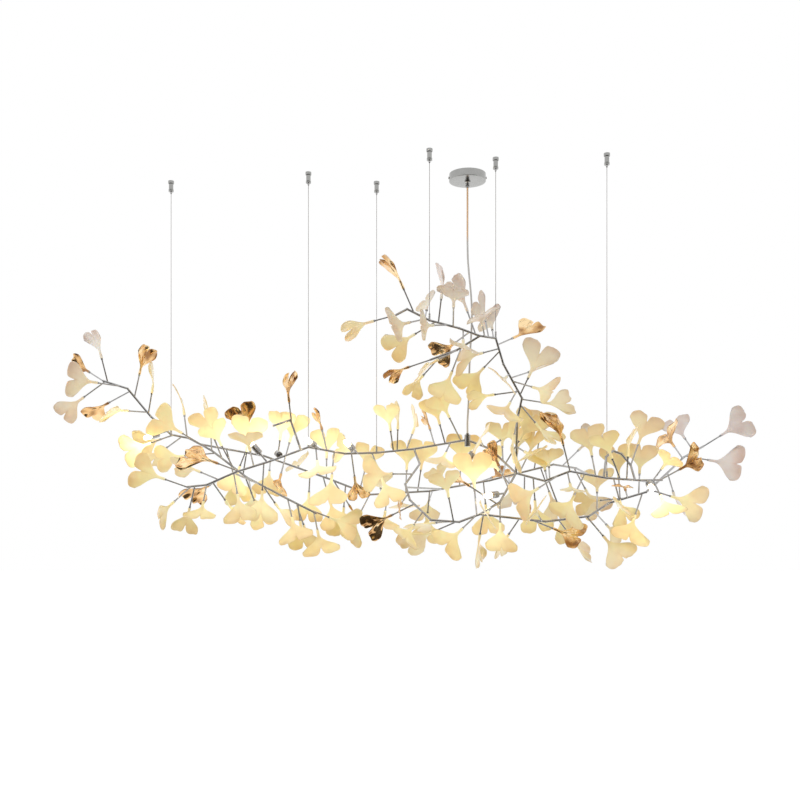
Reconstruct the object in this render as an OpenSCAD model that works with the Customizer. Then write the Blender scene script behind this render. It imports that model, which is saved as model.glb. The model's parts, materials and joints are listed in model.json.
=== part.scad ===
// Ceramic ginkgo chandelier: porcelain and gilt leaves on thin chrome branches,
// hung from the ceiling on six steel wires, with the mains cord in the middle.
// Millimetres. The origin is the centre of the canopy's top face, at the ceiling.
// +X runs along the chandelier, +Y is away from the viewer, +Z is up.

/* [Canopy] */
// Outer diameter of the ceiling canopy
canopy_d = 100; // [90:1:120]
// Height of the canopy
canopy_h = 20; // [18:1:30]
// Wall of the canopy's sheet metal
canopy_wall = 1.5; // [1:0.1:2]
// Distance between the two ceiling screws
screw_spacing = 60; // [55:1:64]

/* [Leaves] */
// Length of a full-size leaf, from its socket to the lobes' edge
leaf_len = 86; // [80:1:88]
// Radius of each of a leaf's two lobes
lobe_r = 26; // [24:1:27]
// Thickness of the porcelain
leaf_wall = 3; // [2.5:0.1:3.5]
// Radius to which a leaf's blade is bent
bend_r = 160; // [140:5:200]
// Radius of the leaf's socket, round the end of its stem
socket_r = 3.8; // [3.5:0.1:4.2]
// Depth of the socket's bore
socket_depth = 12; // [10:1:13]

/* [Branches] */
// Radius of the main rods
rod_r = 3; // [2.5:0.1:3.2]
// Radius of the thin stems that carry the leaves
stem_r = 2; // [1.8:0.1:2]
// Radius of the ball at each bend of a main rod
knee_r = 3.5; // [3.4:0.1:4]
// Gap that the brazing fills where the end of one rod is coped round another
braze_gap = 0.1; // [0.05:0.05:0.3]

/* [Suspension] */
// Diameter of the suspension wires
wire_d = 1.5; // [1:0.1:1.8]
// Length of a wire gripper, without its plunger
gripper_h = 30; // [28:1:34]
// Travel of a gripper's release plunger
plunger_travel = 2; // [1:0.5:2.5]

/* [Lamps] */
// Radius of a lamp holder
holder_r = 9; // [8:0.5:10]
// Length of a lamp holder
holder_len = 28; // [24:1:32]
// Radius of a bulb's glass
bulb_r = 6.5; // [6:0.5:7]

/* [Hidden] */
$fn = 48;

// Where a leaf's neck ends and its blade starts to bend
leaf_neck = 12;

// Main rods: each is a row of points, chosen by hand from the photograph.
left_arm = [[-1000, 20, -560], [-935, 30, -580], [-875, 45, -655], [-820, 52, -705], [-770, 50, -715],
            [-705, 40, -750], [-605, 20, -825], [-490, 0, -885], [-410, -10, -925]];
middle_beam = [[-750, -65, -855], [-695, -80, -850], [-615, -80, -815], [-530, -50, -785],
               [-432, -15, -745], [-335, 25, -760], [-249, 57, -755], [-145, 50, -745], [-3, 2, -724]];
left_spur = [[-452, -22, -753], [-480, -20, -672], [-525, -40, -690]];
right_beam = [[3, -1, -726], [60, -20, -750], [125, -60, -818], [197, -90, -840], [258, -120, -816],
              [348, -148, -835], [437, -130, -840], [503, -100, -838]];
right_loop = [[340, -147, -834], [354, -112, -778], [374, -106, -762], [395, -106, -770],
              [418, -112, -800], [424, -132.7, -839.3]];
right_arm = [[437, -130, -840], [498, -60, -845], [590, 0, -771], [656, 40, -738]];
front_loop = [[-145, 50, -745], [-130, 0, -790], [-170, -80, -848], [-158, -120, -891],
              [-104, -150, -943], [-32, -150, -948], [22, -140, -928], [76, -120, -896], [125, -60, -818]];
lower_beam = [[22, -140, -928], [193, -130, -947], [309, -110, -933], [366, -90, -898],
              [466, -80, -869], [498, -60, -845]];
top_spray = [[-194, -195, -426], [-166, -190, -410], [-109, -178, -436], [-33, -160, -452],
             [22, -140, -468], [65, -119, -470], [86, -110, -536], [137, -90, -622], [126, -75, -678],
             [125, -60, -818]];
spray_drop = [[22, -140, -468], [-36, -120, -501], [-106, -110, -525]];
back_beam = [[-737, 45, -732.5], [-570, 110, -760], [-385, 130, -825], [-270, 110, -870],
             [-100, 110, -860], [70, 110, -830], [250, 100, -785], [300, 20, -800], [303, -134, -825.5]];

// Leaves. Each row is [place along its rod, socket x, y, z, roll, size]: the place counts the rod's
// points, so 2.5 is halfway from the third point to the fourth. The stem runs from there to the socket,
// and the leaf carries on in line with it. Roll 0 faces the viewer, and 90 is edge-on.
left_leaves = [
  [0.2, -1000, 10, -500, 50, 0.9], [1.9, -868, 30, -592, 80, 1.0], [0.7, -1005, -10, -570, 10, 1.05],
  [0.1, -1052, 20, -605, 50, 0.95], [1.85, -925, 0, -645, 70, 0.9], [3.1, -870, 30, -730, 10, 1.0],
  [3.6, -840, 80, -740, 60, 0.9], [4.8, -780, 10, -705, 0, 1.1], [3.9, -785, 60, -650, 80, 1.0],
  [5.0, -710, 50, -685, 80, 1.0], [5.6, -670, 0, -740, -10, 0.9], [5.9, -605, 20, -755, 5, 1.15],
  [6.4, -530, 40, -895, 75, 0.95], [7.0, -475, -30, -935, 0, 1.05], [7.3, -450, 30, -955, 85, 0.9],
  [7.9, -405, -45, -970, 5, 1.1], [7.7, -378, 10, -935, 20, 1.0],
  [6.05, -600, 75, -868, 10, 1.0], [5.3, -695, 30, -720, 15, 1.0], [3.15, -860, 90, -715, 10, 1.0],
  [5.95, -585, 30, -890, 30, 0.9], [5.1, -780, 40, -765, 20, 0.9], [7.35, -455, -10, -945, 15, 0.95]];
left_gold = [[1.3, -905, 40, -540, -75, 0.95], [0.0, -1050, 60, -530, 30, 0.8],
             [1.1, -995, 60, -615, 65, 0.9]];
middle_leaves = [
  [1.4, -715, -60, -815, 55, 0.95], [0.0, -805, -80, -835, 0, 1.05], [0.2, -775, -105, -895, 60, 0.9],
  [0.4, -745, -55, -910, 10, 0.8], [1.0, -695, -120, -895, 0, 0.9], [1.2, -650, -55, -890, 80, 0.9],
  [1.9, -610, -100, -875, 0, 1.0], [2.8, -550, -65, -865, 10, 1.0], [4.7, -368, -20, -820, -15, 1.2],
  [6.55, -190, 55, -690, 70, 0.9], [6.8, -150, 15, -705, 60, 0.9], [7.9, -50, -15, -665, 15, 0.9],
  [7.7, -60, -20, -760, -10, 0.95], [5.85, -235, 35, -825, 0, 1.0],
  [2.5, -575, -112, -762, 0, 1.0], [4.2, -405, -55, -785, 0, 1.1], [6.45, -210, 40, -695, 30, 0.9],
  [7.6, -75, 15, -680, 20, 0.9], [5.4, -320, 75, -750, 10, 0.95]];
middle_gold = [[2.05, -660, -110, -795, 45, 1.2], [1.6, -695, -45, -850, 50, 0.95],
               [3.4, -500, -65, -820, 60, 0.7], [4.5, -398, 20, -695, 75, 0.7],
               [5.2, -310, 45, -822, 30, 0.75], [7.4, -100, 60, -690, 80, 0.7]];
spur_gold = [[0.9, -482, -35, -625, -70, 0.95]];
front_leaves = [
  [4.9, -90, -125, -970, 55, 1.2], [5.8, -25, -168, -965, 0, 1.1], [6.2, 25, -110, -980, 80, 1.0],
  [7.0, 75, -135, -950, 10, 0.95], [4.8, -60, -175, -885, 10, 0.9], [5.85, 10, -120, -865, 0, 1.15],
  [1.5, -205, -62, -820, 0, 1.05], [3.6, -150, -178, -957, 10, 0.9], [6.6, 40, -182, -922, 10, 0.9],
  [4.75, -90, -105, -950, 75, 1.0], [7.6, 85, -20, -810, 10, 1.0]];
front_gold = [[3.2, -205, -110, -930, 30, 0.95], [2.6, -180, -155, -900, 50, 0.6],
              [7.5, 80, -60, -800, 65, 0.8], [6.85, -5, -140, -855, 60, 0.8]];
right_leaves = [
  [2.1, 160, -40, -768, 50, 0.9], [4.7, 318, -105, -775, 15, 1.0],
  [5.6, 398, -165, -780, -50, 1.0], [3.9, 250, -165, -850, 0, 0.7], [4.4, 260, -170, -880, 5, 1.15],
  [3.5, 175, -130, -860, 10, 1.15], [1.5, 95, 2, -742, 0, 1.0], [0.7, 30, -75, -735, 0, 1.0],
  [2.6, 175, -62, -890, 0, 1.0], [3.2, 215, -45, -800, 10, 0.9], [6.6, 485, -150, -880, 0, 1.0],
  [1.6, 135, -45, -730, 10, 1.0], [3.1, 205, -45, -810, 10, 1.0], [5.4, 360, -155, -785, 30, 0.9],
  [3.15, 240, -70, -915, 10, 1.0], [5.2, 390, -105, -890, 20, 0.9], [0.85, 90, -10, -725, 25, 0.9]];
right_gold = [[2.3, 150, -35, -878, 60, 0.7], [4.0, 235, -150, -748, 75, 1.1]];
loop_leaves = [[4.0, 440, -100, -745, 0, 1.0]];
arm_leaves = [[2.1, 652, -15, -780, 10, 1.05], [3.0, 705, 45, -708, 5, 1.05],
              [1.4, 560, 0, -865, 80, 0.85], [0.7, 495, -125, -810, 10, 0.8], [2.5, 612, 65, -715, 10, 0.95]];
arm_gold = [[1.95, 550, -45, -745, 0, 1.05], [1.1, 550, -95, -810, 40, 0.9]];
lower_leaves = [
  [0.6, 100, -110, -980, 70, 0.8], [1.3, 268, -92, -990, 60, 0.9], [1.95, 345, -120, -985, 5, 1.0],
  [2.3, 365, -62, -955, 25, 0.85], [3.9, 430, -110, -930, 0, 1.1], [3.2, 380, -140, -905, 15, 0.85],
  [2.4, 345, -40, -868, 20, 1.0], [3.8, 455, -55, -820, 5, 1.0],
  [3.3, 395, -75, -830, 20, 1.0], [4.3, 530, -85, -880, 0, 1.05],
  [0.95, 165, -188, -930, 0, 1.0], [3.45, 350, -55, -890, 20, 0.8]];
lower_gold = [[0.8, 210, -150, -965, 25, 0.95], [3.5, 400, -130, -865, 60, 0.6]];
top_leaves = [
  [1.85, -160, -220, -450, 0, 1.0], [0.0, -250, -190, -440, 70, 1.0], [2.2, -145, -150, -465, 45, 1.0],
  [2.6, -100, -210, -455, 10, 0.85], [1.8, -115, -132, -400, 60, 0.8], [2.3, -80, -195, -385, 75, 1.0],
  [2.8, -50, -215, -410, 15, 0.9], [3.8, -10, -140, -405, 60, 1.1], [4.3, 25, -185, -450, 0, 0.95],
  [4.55, 40, -98, -420, 70, 0.9], [6.3, 92, -130, -572, 0, 1.1], [6.9, 152, -100, -570, 5, 1.15],
  [6.4, 160, -55, -548, 80, 0.95], [6.8, 65, -85, -612, 60, 0.85], [6.75, 100, -140, -640, 0, 1.05],
  [7.7, 115, -105, -720, 70, 1.1], [7.3, 172, -95, -688, 50, 0.95], [7.05, 195, -65, -630, 35, 1.0],
  [5.5, 38, -82, -540, 20, 1.0], [3.2, -25, -200, -490, 10, 0.9], [6.5, 158, -140, -600, 20, 0.9],
  [8.5, 140, -120, -765, 10, 0.95], [5.4, 30, -130, -510, 50, 1.0], [4.85, 60, -80, -440, 60, 1.0]];
top_gold = [[1.3, -175, -195, -360, 75, 1.1], [3.5, -40, -110, -480, 10, 0.85],
            [5.25, 112, -95, -465, 50, 1.0]];
drop_leaves = [[1.6, -122, -80, -560, 55, 0.8], [1.0, -85, -145, -530, 75, 1.0], [0.8, -50, -135, -560, 10, 1.0]];
drop_gold = [[2.0, -160, -90, -540, 75, 0.8]];
back_leaves = [
  [1.3, -500, 130, -720, 10, 1.0], [3.0, -300, 90, -930, 40, 1.0], [3.3, -225, 60, -918, 0, 1.0],
  [3.6, -165, 125, -800, 10, 1.0], [4.0, -105, 125, -922, 5, 1.0], [4.5, -10, 130, -785, -5, 1.05],
  [4.9, 60, 122, -897, 0, 1.0], [5.4, 150, 125, -752, 10, 1.0], [5.8, 240, 112, -862, -10, 1.0],
  [6.4, 320, 95, -745, 10, 0.95], [6.9, 330, 50, -855, 10, 1.0], [1.95, -395, 145, -765, 15, 1.0],
  [2.4, -345, 135, -905, 0, 1.0], [0.4, -655, 98, -812, 10, 1.0],
  [1.7, -445, 138, -862, 0, 1.0], [2.75, -285, 140, -800, 0, 0.95], [1.1, -560, 150, -800, 10, 1.0],
  [3.8, -125, 100, -800, 20, 1.0], [1.9, -385, 125, -885, 10, 1.0], [3.45, -185, 75, -885, 20, 0.95],
  [0.7, -635, 90, -790, 15, 0.95], [5.7, 210, 100, -715, 20, 0.95], [1.2, -525, 110, -715, 10, 0.95],
  [4.05, -100, 150, -885, 15, 1.0], [3.2, -240, 170, -850, 0, 1.0], [5.3, 135, 170, -850, 0, 1.0],
  [4.3, -60, 170, -825, 10, 0.95], [1.5, -480, 175, -785, 20, 1.0]];
back_gold = [[0.9, -610, 110, -695, 10, 1.0], [4.8, 80, 150, -820, 50, 0.8],
  [2.1, -330, 150, -900, 85, 0.8]];

// Lamps. Each row is [place along its rod, holder x, y, z], and the bulb is in line with the stem.
left_lamps = [[2.8, -850, 28, -705]];
middle_lamps = [[2.9, -558, -52, -765], [3.3, -511, -12, -766], [4.3, -415, -30, -741],
                [5.4, -313, 12, -747]];
right_lamps = [[0.4, 12, -22, -761], [6.3, 455, -152, -850]];
front_lamps = [[7.3, 69, -122, -876]];

// The six wires: where each one meets its rod. The gripper is straight above.
wire_feet = [left_arm[3], middle_beam[4], middle_beam[6], top_spray[2], top_spray[5], right_beam[5]];
ferrule_h = 18;
wire_top = -gripper_h - 6;

// The cord's route, from the canopy's gland down to the hub.
cord_d = 5;
cord_top = -32;
hub_top = -706;
cord_route = [[0, 0, -32], [0, 0, -60], [0, 0, -90], [0, 0, -130], [0, 0, -180], [1, 0, -230],
              [4, 0, -270], [8, 0, -310], [11, 0, -350], [12, 0, -390], [10, 0, -440], [7, 0, -490],
              [5, 0, -540], [4, 0, -590], [2, 0, -640], [0, 0, -675], [0, 0, -706]];

CHROME = "silver";
PORCELAIN = "ivory";
GILT = "goldenrod";

// The point at place s along a rod
function at(path, s) = let (i = min(floor(s), len(path) - 2)) path[i] + (path[i + 1] - path[i]) * (s - i);
function unit(v) = v / norm(v);
function socket(row) = [row[1], row[2], row[3]];
function aim(path, row) = unit(socket(row) - at(path, row[0]));

// Carries its children to point p, with +X along d and the face (+Z) turned to the viewer,
// then rolled about d.
module stand(p, d, roll = 0) {
  toward = [0, -1, 0];
  n0 = unit(toward - (toward * d) * d);
  w0 = cross(n0, d);
  n = n0 * cos(roll) + w0 * sin(roll);
  w = cross(n, d);
  multmatrix([[d[0], w[0], n[0], p[0]], [d[1], w[1], n[1], p[1]], [d[2], w[2], n[2], p[2]]]) children();
}

// Carries its children to point p, with +Z along d
module point_along(p, d) translate(p) rotate([0, acos(d[2]), atan2(d[1], d[0])]) children();

// A round bar from a to b
module bar(a, b, r) point_along(a, unit(b - a)) cylinder(r = r, h = norm(b - a));

// The small ball at bend k of a rod, with its poles inside the rod
module knee(path, k, r) point_along(path[k], unit(path[k + 1] - path[k - 1])) sphere(r = r, $fn = 32);

// A main rod: straight lengths with a small ball at each bend
module rod(path, r = rod_r) {
  for (i = [0:len(path) - 2]) bar(path[i], path[i + 1], r);
  if (len(path) > 2) for (k = [1:len(path) - 2]) knee(path, k, knee_r);
}

// The stretch of a rod round place s, to cope another bar against
module rod_near(path, s, gap = 0) {
  for (i = [0:len(path) - 2]) if (s > i - 0.25 && s < i + 1.25) bar(path[i], path[i + 1], rod_r + gap);
  for (k = [1:len(path) - 2]) if (abs(s - k) < 0.5) knee(path, k, knee_r + gap);
}

// The ginkgo outline: a fan that splits into two round lobes
module leaf_outline() {
  lobe_x = leaf_len - lobe_r;
  difference() {
    union() {
      for (side = [-1, 1]) translate([lobe_x, side * lobe_r * 0.97]) circle(r = lobe_r);
      polygon([[8, -socket_r], [22, -5.5], [34, -14], [lobe_x, -lobe_r], [lobe_x + 14, 0],
               [lobe_x, lobe_r], [34, 14], [22, 5.5], [8, socket_r]]);
    }
    polygon([[lobe_x + 4, 0], [leaf_len + 10, -5], [leaf_len + 10, 5]]);
  }
}

// The leaf's bend: a shell of one radius, which leaves the neck in line and rises to the lobes
module leaf_bend() translate([leaf_neck, 0, bend_r]) rotate([90, 0, 0]) difference() {
  cylinder(r = bend_r + leaf_wall / 2, h = 4 * lobe_r + 20, center = true, $fn = 180);
  cylinder(r = bend_r - leaf_wall / 2, h = 4 * lobe_r + 22, center = true, $fn = 180);
}

// One porcelain leaf, its socket's mouth at the origin and its blade along +X
module leaf(size) {
  difference() {
    union() {
      scale(size) intersection() {
        translate([0, 0, -leaf_wall]) linear_extrude(leaf_len) leaf_outline();
        leaf_bend();
      }
      rotate([0, 90, 0]) cylinder(r = socket_r, h = 24 * size);
    }
    translate([-1, 0, 0]) rotate([0, 90, 0]) cylinder(r = stem_r + 0.1, h = socket_depth + 1);
  }
}

// All the leaves of one rod
module leaves(path, rows) {
  for (row = rows) stand(socket(row), aim(path, row), row[4]) leaf(row[5]);
}

// The stems of one rod: each is coped to the rod and ends in a collar and in the leaf's socket
module stems(path, rows, r = stem_r, inside = socket_depth) {
  for (row = rows) {
    d = aim(path, row);
    difference() {
      union() {
        bar(at(path, row[0]), socket(row) + d * inside, r);
        bar(socket(row) - d * 4, socket(row), r + 1);
      }
      rod_near(path, row[0]);
    }
  }
}

// A slot with round ends, cut along X
module slot(r, length, depth) {
  for (end = [-1, 1]) translate([end * (length / 2 - r), 0, 0]) cylinder(r = r, h = depth);
  translate([-length / 2 + r, -r, 0]) cube([length - 2 * r, 2 * r, depth]);
}

module canopy_ceiling_plate() color(CHROME) {
  r = canopy_d / 2 - canopy_wall - 0.5;
  difference() {
    union() {
      translate([0, 0, -2]) cylinder(r = r, h = 2);
      for (side = [-1, 1]) translate([side * (r - 1.5), 0, -7]) cube([3, 14, 14], center = true);
    }
    difference() {
      translate([0, 0, -20]) cylinder(r = 2 * r, h = 30);
      translate([0, 0, -21]) cylinder(r = r, h = 32);
    }
    for (side = [-1, 1]) translate([side * screw_spacing / 2, 0, -3]) slot(2.4, 14, 4);
    translate([0, 0, -3]) cylinder(r = 8, h = 4);
    for (side = [-1, 1]) translate([side * r, 0, -10]) rotate([0, 90, 0])
      cylinder(r = 1.5, h = 12, center = true);
  }
}

module canopy_cover() color(CHROME) difference() {
  translate([0, 0, -canopy_h]) cylinder(d = canopy_d, h = canopy_h);
  translate([0, 0, -canopy_h + canopy_wall]) cylinder(r = canopy_d / 2 - canopy_wall, h = canopy_h);
  translate([0, 0, -canopy_h - 1]) cylinder(r = 5, h = 4);
  for (side = [-1, 1]) translate([side * canopy_d / 2, 0, -10]) rotate([0, 90, 0])
    cylinder(r = 1.7, h = 8, center = true);
}

module canopy_side_screws() color("gray") {
  x = canopy_d / 2;
  for (side = [0, 180]) rotate([0, 0, side]) {
    translate([x - 7, 0, -10]) rotate([0, 90, 0]) cylinder(r = 1.5, h = 7.5);
    translate([x + 0.05, 0, -10]) rotate([0, 90, 0]) cylinder(r = 3.4, h = 2);
  }
}

module cord_gland() color(CHROME) difference() {
  union() {
    translate([0, 0, -canopy_h - 3]) cylinder(r = 8, h = 3);
    translate([0, 0, cord_top - 6]) cylinder(r = 5.5, h = -cord_top - canopy_h + 3);
    translate([0, 0, -canopy_h]) cylinder(r = 4.9, h = 8);
  }
  translate([0, 0, cord_top - 7]) cylinder(r = cord_d / 2 + 0.1, h = 7);
  translate([0, 0, cord_top - 1]) cylinder(r = 1.5, h = 40);
}

module cord_gland_nut() color(CHROME) difference() {
  translate([0, 0, -canopy_h + canopy_wall]) cylinder(r = 8, h = 4, $fn = 6);
  translate([0, 0, -canopy_h]) cylinder(r = 4.9, h = 8);
}

module terminal_block() color("white") difference() {
  translate([20, 0, -7.5]) cube([14, 30, 11], center = true);
  for (y = [-10, 0, 10]) translate([12, y, -8.5]) rotate([0, 90, 0]) cylinder(r = 2, h = 16);
}

// Repeats its children at the top of each wire
module each_gripper() {
  for (p = wire_feet) translate([p[0], p[1], 0]) children();
}

module gripper_ceiling_cups() color(CHROME) each_gripper() difference() {
  translate([0, 0, -8]) cylinder(r = 8, h = 8);
  translate([0, 0, -9]) cylinder(r = 5.6, h = 6.5);
  translate([0, 0, -3]) cylinder(r = 2.2, h = 4);
}

module gripper_barrels() color(CHROME) each_gripper() difference() {
  union() {
    translate([0, 0, -gripper_h]) cylinder(r = 7, h = 6);
    translate([0, 0, -gripper_h + 6]) cylinder(r = 6, h = gripper_h - 14);
    translate([0, 0, -8]) cylinder(r = 5.5, h = 5.5);
  }
  translate([0, 0, -gripper_h + 6]) cylinder(r = 4.2, h = gripper_h);
  translate([0, 0, -gripper_h - 1]) cylinder(r = 2.8, h = 8);
}

// Three hardened balls grip each wire
module gripper_jaws() color("gray") each_gripper()
  for (a = [0, 120, 240]) rotate([0, 0, a]) translate([1.25 + wire_d / 2, 0, -gripper_h + 11])
    sphere(r = 1.2, $fn = 24);

// Each spring is drawn as the sleeve that its coil fills
module gripper_springs() color("gray") each_gripper() difference() {
  translate([0, 0, -gripper_h + 14]) cylinder(r = 3.6, h = gripper_h - 18);
  translate([0, 0, -gripper_h + 13]) cylinder(r = 2.6, h = gripper_h - 16);
}

// The release plunger that shows below a gripper: pushed up, it lets the wire slide
module plunger(i) color(CHROME) translate([wire_feet[i][0], wire_feet[i][1], 0]) difference() {
  union() {
    translate([0, 0, wire_top]) cylinder(r = 2.5, h = 12.5);
    translate([0, 0, -gripper_h + 6]) cylinder(r = 3.9, h = 1.2);
  }
  translate([0, 0, wire_top - 1]) cylinder(r = 1.3, h = 20);
}

module suspension_wires() color("silver") for (p = wire_feet)
  translate([p[0], p[1], p[2] + ferrule_h]) cylinder(d = wire_d, h = -gripper_h + 12 - p[2] - ferrule_h);

// A crimped ferrule stands on the rod under each wire
module wire_ferrules() color("gray") for (p = wire_feet) difference() {
  translate(p) cylinder(r = 2.6, h = ferrule_h);
  translate(p) sphere(r = knee_r, $fn = 32);
  for (path = [left_arm, middle_beam, top_spray, right_beam]) for (i = [0:len(path) - 2])
    if (path[i] == p || path[i + 1] == p) bar(path[i], path[i + 1], rod_r);
}

// The power cord is one tube swept along its route
module power_cord() color("gainsboro") {
  sides = 10;
  rings = [for (p = cord_route) [for (k = [0:sides - 1])
    [p[0] + cos(k * 360 / sides) * cord_d / 2, p[1] + sin(k * 360 / sides) * cord_d / 2, p[2]]]];
  last = len(rings) - 1;
  polyhedron([for (ring = rings) each ring], concat(
    [[for (k = [0:sides - 1]) k]],
    [for (j = [0:last - 1]) for (k = [0:sides - 1]) let (n = (k + 1) % sides)
      [j * sides + k, (j + 1) * sides + k, (j + 1) * sides + n, j * sides + n]],
    [[for (k = [sides - 1:-1:0]) last * sides + k]]));
}

module hub_solid() translate([0, 0, hub_top - 36]) cylinder(r = 8, h = 30);

module wiring_hub() color(CHROME) difference() {
  hub_solid();
  translate([0, 0, hub_top - 33]) cylinder(r = 6.5, h = 30);
}

module hub_cord_clamp() color(CHROME) difference() {
  union() {
    translate([0, 0, hub_top - 6]) cylinder(r = 8, h = 2);
    translate([0, 0, hub_top - 4]) cylinder(r = 4.5, h = 4);
  }
  translate([0, 0, hub_top - 7]) cylinder(r = 1.5, h = 8);
}

module rod_left_arm() color(CHROME) rod(left_arm);
module rod_middle_beam() color(CHROME) difference() { rod(middle_beam); hub_solid(); }
module rod_left_spur() color(CHROME) difference() { rod(left_spur); rod_near(middle_beam, 3.8, braze_gap); }
module rod_right_beam() color(CHROME) difference() { rod(right_beam); hub_solid(); }
module rod_right_loop() color(CHROME) difference() {
  rod(right_loop);
  for (s = [5, 5.9]) rod_near(right_beam, s, braze_gap);
}
module rod_right_arm() color(CHROME) difference() {
  rod(right_arm);
  rod_near(right_beam, 6, braze_gap);
}
module rod_front_loop() color(CHROME) difference() {
  rod(front_loop);
  rod_near(middle_beam, 7, braze_gap * 2);
  rod_near(right_beam, 2, braze_gap * 2);
}
module rod_lower_beam() color(CHROME) difference() {
  rod(lower_beam);
  rod_near(front_loop, 6, braze_gap);
  rod_near(right_arm, 1, braze_gap);
}
module rod_top_spray() color(CHROME) difference() {
  rod(top_spray);
  rod_near(right_beam, 2, braze_gap);
  rod_near(front_loop, 7.9, braze_gap);
}
module rod_spray_drop() color(CHROME) difference() {
  rod(spray_drop);
  rod_near(top_spray, 4, braze_gap);
}
module rod_back_beam() color(CHROME) difference() {
  rod(back_beam);
  rod_near(left_arm, 4.5, braze_gap);
  rod_near(right_beam, 4.5, braze_gap);
}

// Short bars that tie the front and back rods together: [rod, place, rod, place]
ties = [[left_arm, 6.3, middle_beam, 1.9], [back_beam, 4.2, front_loop, 2.2],
        [back_beam, 5.2, right_beam, 1.6]];

module tie_rods() color(CHROME) for (tie = ties) difference() {
  bar(at(tie[0], tie[1]), at(tie[2], tie[3]), rod_r - 0.5);
  rod_near(tie[0], tie[1]);
  rod_near(tie[2], tie[3]);
}

module stems_left() color(CHROME) stems(left_arm, concat(left_leaves, left_gold));
module stems_middle() color(CHROME) {
  stems(middle_beam, concat(middle_leaves, middle_gold));
  stems(left_spur, spur_gold);
}
module stems_centre() color(CHROME) stems(front_loop, concat(front_leaves, front_gold));
module stems_right() color(CHROME) {
  stems(right_beam, concat(right_leaves, right_gold));
  stems(right_loop, loop_leaves);
  stems(right_arm, concat(arm_leaves, arm_gold));
}
module stems_lower() color(CHROME) stems(lower_beam, concat(lower_leaves, lower_gold));
module stems_top() color(CHROME) {
  stems(top_spray, concat(top_leaves, top_gold));
  stems(spray_drop, concat(drop_leaves, drop_gold));
}
module stems_back() color(CHROME) stems(back_beam, concat(back_leaves, back_gold));

module leaves_left() color(PORCELAIN) leaves(left_arm, left_leaves);
module leaves_middle() color(PORCELAIN) leaves(middle_beam, middle_leaves);
module leaves_centre() color(PORCELAIN) leaves(front_loop, front_leaves);
module leaves_right() color(PORCELAIN) {
  leaves(right_beam, right_leaves);
  leaves(right_loop, loop_leaves);
  leaves(right_arm, arm_leaves);
}
module leaves_lower() color(PORCELAIN) leaves(lower_beam, lower_leaves);
module leaves_top() color(PORCELAIN) {
  leaves(top_spray, top_leaves);
  leaves(spray_drop, drop_leaves);
}
module leaves_back() color(PORCELAIN) leaves(back_beam, back_leaves);
module gold_leaves_left() color(GILT) {
  leaves(left_arm, left_gold);
  leaves(middle_beam, middle_gold);
  leaves(left_spur, spur_gold);
}
module gold_leaves_centre() color(GILT) {
  leaves(front_loop, front_gold);
  leaves(back_beam, back_gold);
}
module gold_leaves_right() color(GILT) {
  leaves(right_beam, right_gold);
  leaves(right_arm, arm_gold);
  leaves(lower_beam, lower_gold);
}
module gold_leaves_top() color(GILT) {
  leaves(top_spray, top_gold);
  leaves(spray_drop, drop_gold);
}

// Repeats its children at each lamp, with +X along its stem
module each_lamp() {
  for (set = [[left_arm, left_lamps], [middle_beam, middle_lamps], [right_beam, right_lamps],
              [front_loop, front_lamps]])
    for (row = set[1]) stand(socket(row), aim(set[0], row)) children();
}
module lamp_stems() color(CHROME) {
  stems(left_arm, left_lamps, stem_r + 0.5, 0);
  stems(middle_beam, middle_lamps, stem_r + 0.5, 0);
  stems(right_beam, right_lamps, stem_r + 0.5, 0);
  stems(front_loop, front_lamps, stem_r + 0.5, 0);
}
module lamp_holders() color(CHROME) each_lamp() rotate([0, 90, 0]) difference() {
  cylinder(r = holder_r, h = holder_len);
  translate([0, 0, 3]) cylinder(r = holder_r - 1.2, h = holder_len);
}
module bulbs() color("lightyellow") each_lamp() rotate([0, 90, 0]) {
  translate([0, 0, 3]) cylinder(r = bulb_r - 1.5, h = 15);
  translate([0, 0, 18]) cylinder(r = bulb_r, h = 24);
  translate([0, 0, 42]) sphere(r = bulb_r);
}

canopy_ceiling_plate();
canopy_cover();
canopy_side_screws();
cord_gland();
cord_gland_nut();
terminal_block();
gripper_ceiling_cups();
gripper_barrels();
gripper_jaws();
gripper_springs();
plunger(0);  // plunger_1
plunger(1);  // plunger_2
plunger(2);  // plunger_3
plunger(3);  // plunger_4
plunger(4);  // plunger_5
plunger(5);  // plunger_6
suspension_wires();
wire_ferrules();
power_cord();
wiring_hub();
hub_cord_clamp();
rod_left_arm();
rod_middle_beam();
rod_left_spur();
rod_right_beam();
rod_right_loop();
rod_right_arm();
rod_front_loop();
rod_lower_beam();
rod_top_spray();
rod_spray_drop();
rod_back_beam();
tie_rods();
stems_left();
stems_middle();
stems_centre();
stems_right();
stems_lower();
stems_top();
stems_back();
leaves_left();
leaves_middle();
leaves_centre();
leaves_right();
leaves_lower();
leaves_top();
leaves_back();
gold_leaves_left();
gold_leaves_centre();
gold_leaves_right();
gold_leaves_top();
lamp_stems();
lamp_holders();
bulbs();
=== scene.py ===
# A porcelain ginkgo chandelier: white and gilt leaves on thin chrome branches, under a small canopy.
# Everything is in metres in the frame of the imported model: the ceiling is at z = 0, +X runs along the
# chandelier to the viewer's right, and +Y is away from the viewer. Points in lists are in millimetres.

import json
import math
import random

import bmesh
import bpy
from mathutils import Matrix, Vector

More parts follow.
